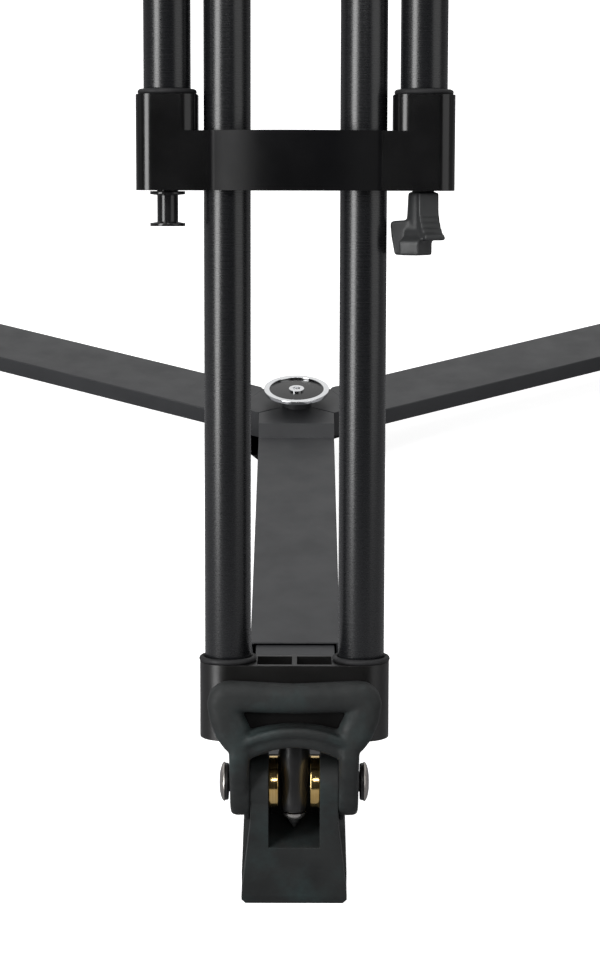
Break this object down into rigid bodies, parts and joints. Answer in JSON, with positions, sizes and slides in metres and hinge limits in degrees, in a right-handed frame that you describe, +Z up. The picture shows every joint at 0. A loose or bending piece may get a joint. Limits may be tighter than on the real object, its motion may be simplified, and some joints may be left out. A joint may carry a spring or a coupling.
{
  "type": "tripod with fluid head",
  "caption": "Spread tripod with twin-tube legs, ground spreader with rubber shoes, pull straps and a half-ball fluid head with a pan bar.",
  "frame": {"origin": "on the floor, on the tripod's centre line below the crown and the spreader hub", "axes": "+Z up; leg 1 points to -Y; the camera's lens looks over leg 1, along -Y, and the pan bar trails towards +Y"},
  "size_m": [0.7182, 0.7998, 1.097],
  "materials": {
    "tube": "black anodised, drawn",
    "casting": "satin black",
    "clamp": "gloss-satin black",
    "spool": "gloss black, turned",
    "knob": "dark grey moulded",
    "spike": "black with a steel point",
    "rubber": "moulded, dark grey-green",
    "fastener": "stainless domes with brass bushes",
    "arm": "matte dark grey",
    "arm_inner": "satin grey",
    "steel": "turned steel",
    "cap": "bright machined rim",
    "crown": "satin black",
    "ball": "turned aluminium",
    "head": "fine textured black",
    "dial": "moulded dark grey",
    "plate": "dark anodised",
    "grip": "ribbed black rubber"
  },
  "bodies": {
    "crown": {"crown": "crown", "hinge_pins": "steel"},
    "upper_1": {"upper_tubes_1": "tube", "top_casting_1": "casting", "clamp_1": "clamp", "spool_1": "spool"},
    "knob_1": {"lock_knob_1": "knob"},
    "lower_1": {"lower_tubes_1": "tube", "foot_casting_1": "casting", "spike_1": "spike"},
    "strap_body_1": {"strap_1": "rubber"},
    "shoe_body_1": {"shoe_1": "rubber", "shoe_bolts_1": "fastener"},
    "bar_body_1": {"arm_bar_1": "arm_inner", "arm_pin_1": "steel"},
    "sleeve_body_1": {"arm_sleeve_1": "arm"},
    "upper_2": {"upper_tubes_2": "tube", "top_casting_2": "casting", "clamp_2": "clamp", "spool_2": "spool"},
    "knob_2": {"lock_knob_2": "knob"},
    "lower_2": {"lower_tubes_2": "tube", "foot_casting_2": "casting", "spike_2": "spike"},
    "strap_body_2": {"strap_2": "rubber"},
    "shoe_body_2": {"shoe_2": "rubber", "shoe_bolts_2": "fastener"},
    "bar_body_2": {"arm_bar_2": "arm_inner", "arm_pin_2": "steel"},
    "sleeve_body_2": {"arm_sleeve_2": "arm"},
    "upper_3": {"upper_tubes_3": "tube", "top_casting_3": "casting", "clamp_3": "clamp", "spool_3": "spool"},
    "knob_3": {"lock_knob_3": "knob"},
    "lower_3": {"lower_tubes_3": "tube", "foot_casting_3": "casting", "spike_3": "spike"},
    "strap_body_3": {"strap_3": "rubber"},
    "shoe_body_3": {"shoe_3": "rubber", "shoe_bolts_3": "fastener"},
    "bar_body_3": {"arm_bar_3": "arm_inner", "arm_pin_3": "steel"},
    "sleeve_body_3": {"arm_sleeve_3": "arm"},
    "hub_body": {"hub": "arm", "hub_cap": "cap"},
    "ball": {"half_ball": "ball"},
    "bowl_handle": {"bowl_knob": "dial"},
    "pan": {"pan_body": "head"},
    "pan_lever": {"pan_lock": "dial"},
    "tilt": {"tilt_body": "head"},
    "tilt_lever": {"tilt_lock": "dial"},
    "dial": {"balance_dial": "dial"},
    "drag": {"drag_knob": "dial"},
    "plate": {"camera_plate": "plate"},
    "screw": {"camera_screw": "steel"},
    "plate_lever": {"plate_lock": "dial"},
    "grip_knob": {"bar_knob": "dial"},
    "handle": {"pan_bar": "tube", "bar_grip": "grip"}
  },
  "joints": [
    {"name": "leg_fold_1", "type": "hinge", "parent": "crown", "child": "upper_1", "pos_m": [0, -0.07, 0.92557], "axis": [-1, 0, 0], "range_deg": [-17.2, 0]},
    {"name": "leg_lock_1", "type": "hinge", "parent": "upper_1", "child": "knob_1", "pos_m": [0.0488, -0.31001, 0.25524], "axis": [0, 0.3371, 0.9415], "range_deg": [0, 300]},
    {"name": "leg_extend_1", "type": "slide", "parent": "upper_1", "child": "lower_1", "axis": [0, -0.3371, -0.9415], "range_m": [-0.15, 0.35]},
    {"name": "strap_pull_1", "type": "hinge", "parent": "lower_1", "child": "strap_body_1", "pos_m": [0, -0.3835, 0.05], "axis": [1, 0, 0], "range_deg": [0, 100]},
    {"name": "shoe_level_1", "type": "hinge", "parent": "lower_1", "child": "shoe_body_1", "pos_m": [0, -0.3835, 0.05], "axis": [-1, 0, 0], "range_deg": [0, 17.2]},
    {"name": "arm_lift_1", "type": "hinge", "parent": "shoe_body_1", "child": "bar_body_1", "pos_m": [0, -0.3575, 0.02735], "axis": [1, 0, 0], "range_deg": [0, 88]},
    {"name": "arm_slide_1", "type": "slide", "parent": "bar_body_1", "child": "sleeve_body_1", "axis": [0, -1, 0], "range_m": [0, 0.095]},
    {"name": "leg_fold_2", "type": "hinge", "parent": "crown", "child": "upper_2", "pos_m": [0.06062, 0.035, 0.92557], "axis": [0.5, -0.866, 0], "range_deg": [-17.2, 0]},
    {"name": "leg_lock_2", "type": "hinge", "parent": "upper_2", "child": "knob_2", "pos_m": [0.24408, 0.19727, 0.25524], "axis": [-0.2919, -0.1685, 0.9415], "range_deg": [0, 300]},
    {"name": "leg_extend_2", "type": "slide", "parent": "upper_2", "child": "lower_2", "axis": [0.2919, 0.1685, -0.9415], "range_m": [-0.15, 0.35]},
    {"name": "strap_pull_2", "type": "hinge", "parent": "lower_2", "child": "strap_body_2", "pos_m": [0.33212, 0.19175, 0.05], "axis": [-0.5, 0.866, 0], "range_deg": [0, 100]},
    {"name": "shoe_level_2", "type": "hinge", "parent": "lower_2", "child": "shoe_body_2", "pos_m": [0.33212, 0.19175, 0.05], "axis": [0.5, -0.866, 0], "range_deg": [0, 17.2]},
    {"name": "arm_lift_2", "type": "hinge", "parent": "shoe_body_2", "child": "bar_body_2", "pos_m": [0.3096, 0.17875, 0.02735], "axis": [-0.5, 0.866, 0], "range_deg": [0, 88]},
    {"name": "arm_slide_2", "type": "slide", "parent": "bar_body_2", "child": "sleeve_body_2", "axis": [0.866, 0.5, 0], "range_m": [0, 0.095]},
    {"name": "leg_fold_3", "type": "hinge", "parent": "crown", "child": "upper_3", "pos_m": [-0.06062, 0.035, 0.92557], "axis": [0.5, 0.866, 0], "range_deg": [-17.2, 0]},
    {"name": "leg_lock_3", "type": "hinge", "parent": "upper_3", "child": "knob_3", "pos_m": [-0.29288, 0.11274, 0.25524], "axis": [0.2919, -0.1685, 0.9415], "range_deg": [0, 300]},
    {"name": "leg_extend_3", "type": "slide", "parent": "upper_3", "child": "lower_3", "axis": [-0.2919, 0.1685, -0.9415], "range_m": [-0.15, 0.35]},
    {"name": "strap_pull_3", "type": "hinge", "parent": "lower_3", "child": "strap_body_3", "pos_m": [-0.33212, 0.19175, 0.05], "axis": [-0.5, -0.866, 0], "range_deg": [0, 100]},
    {"name": "shoe_level_3", "type": "hinge", "parent": "lower_3", "child": "shoe_body_3", "pos_m": [-0.33212, 0.19175, 0.05], "axis": [0.5, 0.866, 0], "range_deg": [0, 17.2]},
    {"name": "arm_lift_3", "type": "hinge", "parent": "shoe_body_3", "child": "bar_body_3", "pos_m": [-0.3096, 0.17875, 0.02735], "axis": [-0.5, -0.866, 0], "range_deg": [0, 88]},
    {"name": "arm_slide_3", "type": "slide", "parent": "bar_body_3", "child": "sleeve_body_3", "axis": [-0.866, 0.5, 0], "range_m": [0, 0.095]},
    {"name": "hub_lift", "type": "slide", "parent": "crown", "child": "hub_body", "axis": [0, 0, 1], "range_m": [0, 0.15]},
    {"name": "level", "type": "hinge", "parent": "crown", "child": "ball", "pos_m": [0, 0, 0.94757], "axis": [-1, 0, 0], "range_deg": [-10, 10]},
    {"name": "bowl_lock", "type": "hinge", "parent": "ball", "child": "bowl_handle", "pos_m": [0, 0, 0.85757], "axis": [0, 0, 1], "range_deg": [0, 360]},
    {"name": "pan_turn", "type": "hinge", "parent": "ball", "child": "pan", "pos_m": [0, 0, 0.97757], "axis": [0, 0, 1], "continuous": true},
    {"name": "pan_lock_turn", "type": "hinge", "parent": "pan", "child": "pan_lever", "pos_m": [0, -0.0424, 0.98057], "axis": [0, -1, 0], "range_deg": [0, 70]},
    {"name": "tilt_turn", "type": "hinge", "parent": "pan", "child": "tilt", "pos_m": [0, 0, 1.03957], "axis": [1, 0, 0], "range_deg": [-45, 80]},
    {"name": "tilt_lock_turn", "type": "hinge", "parent": "pan", "child": "tilt_lever", "pos_m": [-0.0384, -0.014, 1.00557], "axis": [1, 0, 0], "range_deg": [0, 50]},
    {"name": "balance_turn", "type": "hinge", "parent": "pan", "child": "dial", "pos_m": [-0.045, 0, 1.03957], "axis": [1, 0, 0], "range_deg": [0, 300]},
    {"name": "drag_turn", "type": "hinge", "parent": "pan", "child": "drag", "pos_m": [0.045, 0, 1.03957], "axis": [1, 0, 0], "range_deg": [0, 270]},
    {"name": "plate_slide", "type": "slide", "parent": "tilt", "child": "plate", "axis": [0, 1, 0], "range_m": [-0.03, 0.03]},
    {"name": "screw_turn", "type": "hinge", "parent": "plate", "child": "screw", "pos_m": [0, 0, 1.08457], "axis": [0, 0, 1], "continuous": true},
    {"name": "plate_lock_turn", "type": "hinge", "parent": "tilt", "child": "plate_lever", "pos_m": [-0.0314, 0.015, 1.06957], "axis": [-1, 0, 0], "range_deg": [0, 50]},
    {"name": "handle_angle", "type": "hinge", "parent": "tilt", "child": "handle", "pos_m": [0.049, 0.044, 1.07257], "axis": [-1, 0, 0], "range_deg": [-60, 20]},
    {"name": "handle_lock", "type": "hinge", "parent": "handle", "child": "grip_knob", "pos_m": [0.06, 0.044, 1.07257], "axis": [1, 0, 0], "range_deg": [0, 360]}
  ],
  "couplings": [
    {"joint": "shoe_level_1", "follows": "leg_fold_1", "ratio": -1},
    {"joint": "arm_lift_1", "follows": "leg_fold_1", "ratio": -5.1163},
    {"joint": "arm_slide_1", "follows": "leg_fold_1", "m_per_rad": -0.31646},
    {"joint": "leg_fold_2", "follows": "leg_fold_1", "ratio": 1},
    {"joint": "shoe_level_2", "follows": "leg_fold_1", "ratio": -1},
    {"joint": "arm_lift_2", "follows": "leg_fold_1", "ratio": -5.1163},
    {"joint": "arm_slide_2", "follows": "leg_fold_1", "m_per_rad": -0.31646},
    {"joint": "leg_fold_3", "follows": "leg_fold_1", "ratio": 1},
    {"joint": "shoe_level_3", "follows": "leg_fold_1", "ratio": -1},
    {"joint": "arm_lift_3", "follows": "leg_fold_1", "ratio": -5.1163},
    {"joint": "arm_slide_3", "follows": "leg_fold_1", "m_per_rad": -0.31646},
    {"joint": "hub_lift", "follows": "leg_fold_1", "m_per_rad": -0.49967}
  ]
}
